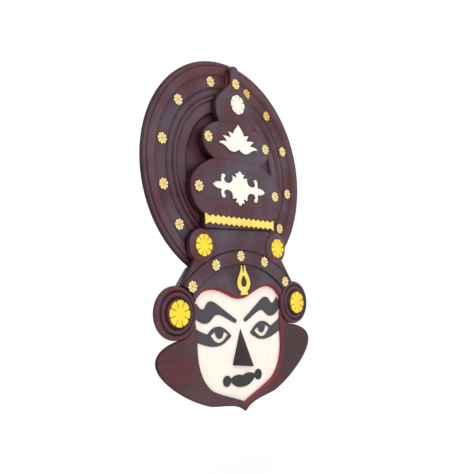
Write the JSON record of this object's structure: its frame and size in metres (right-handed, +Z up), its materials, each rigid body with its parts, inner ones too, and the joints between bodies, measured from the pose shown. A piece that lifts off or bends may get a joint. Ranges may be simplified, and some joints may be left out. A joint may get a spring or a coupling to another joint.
{
  "type": "decorative wall mask",
  "caption": "Flat-backed wall mask of layered wood: a cut-out face with a tall tiered crown before a round moulded halo.",
  "frame": {"origin": "centre of the halo's flat back, on the wall plane", "axes": "+Z up, the front faces -Y, +Y points into the wall, +X is the viewer's right"},
  "size_m": [0.3946, 0.0316, 0.6112],
  "materials": {
    "lacquered_wood": "dark maroon lacquer over wood, satin, rubbed dark red at the edges",
    "cream_paint": "cream paint on wood, satin",
    "slate_paint": "slate paint on wood, satin",
    "dark_stain": "dark stain with upright grain",
    "yellow_paint": "yellow paint on wood, satin",
    "straw_paint": "straw yellow paint on wood, satin",
    "pale_gold_paint": "pale gold paint on wood, satin",
    "white_paint": "off-white paint on wood, satin"
  },
  "bodies": {
    "root": {"forehead_board": "lacquered_wood", "headband_plate": "lacquered_wood", "brow_band": "lacquered_wood", "brow_rosette_middle": "pale_gold_paint", "brow_rosette_inner_left": "pale_gold_paint", "brow_rosette_inner_right": "pale_gold_paint", "brow_rosette_outer_left": "pale_gold_paint", "brow_rosette_outer_right": "pale_gold_paint", "upper_boss_left": "lacquered_wood", "boss_flower_left": "yellow_paint", "upper_boss_right": "lacquered_wood", "boss_flower_right": "yellow_paint", "ear_disc_left": "lacquered_wood", "ear_flower_left": "yellow_paint", "ear_disc_right": "lacquered_wood", "ear_flower_right": "yellow_paint", "hair_frame": "lacquered_wood", "face_panel": "cream_paint", "brow_left": "slate_paint", "eye_left": "slate_paint", "brow_right": "slate_paint", "eye_right": "slate_paint", "nose": "dark_stain", "mouth": "slate_paint", "flame_mark": "straw_paint", "crown_plate": "lacquered_wood", "spire_rosette": "pale_gold_paint", "crown_flower": "white_paint", "middle_tier_rosette_left": "pale_gold_paint", "low_tier_rosette_left": "pale_gold_paint", "middle_tier_rosette_right": "pale_gold_paint", "low_tier_rosette_right": "pale_gold_paint", "lotus_ornament": "white_paint", "fleur_ornament": "white_paint", "zigzag_strip": "straw_paint", "halo": "lacquered_wood", "halo_rosette_left_1": "pale_gold_paint", "halo_rosette_left_2": "pale_gold_paint", "halo_rosette_left_3": "pale_gold_paint", "halo_rosette_left_4": "pale_gold_paint", "halo_rosette_left_5": "pale_gold_paint", "halo_rosette_right_1": "pale_gold_paint", "halo_rosette_right_2": "pale_gold_paint", "halo_rosette_right_3": "pale_gold_paint", "halo_rosette_right_4": "pale_gold_paint", "halo_rosette_right_5": "pale_gold_paint"}
  },
  "joints": []
}
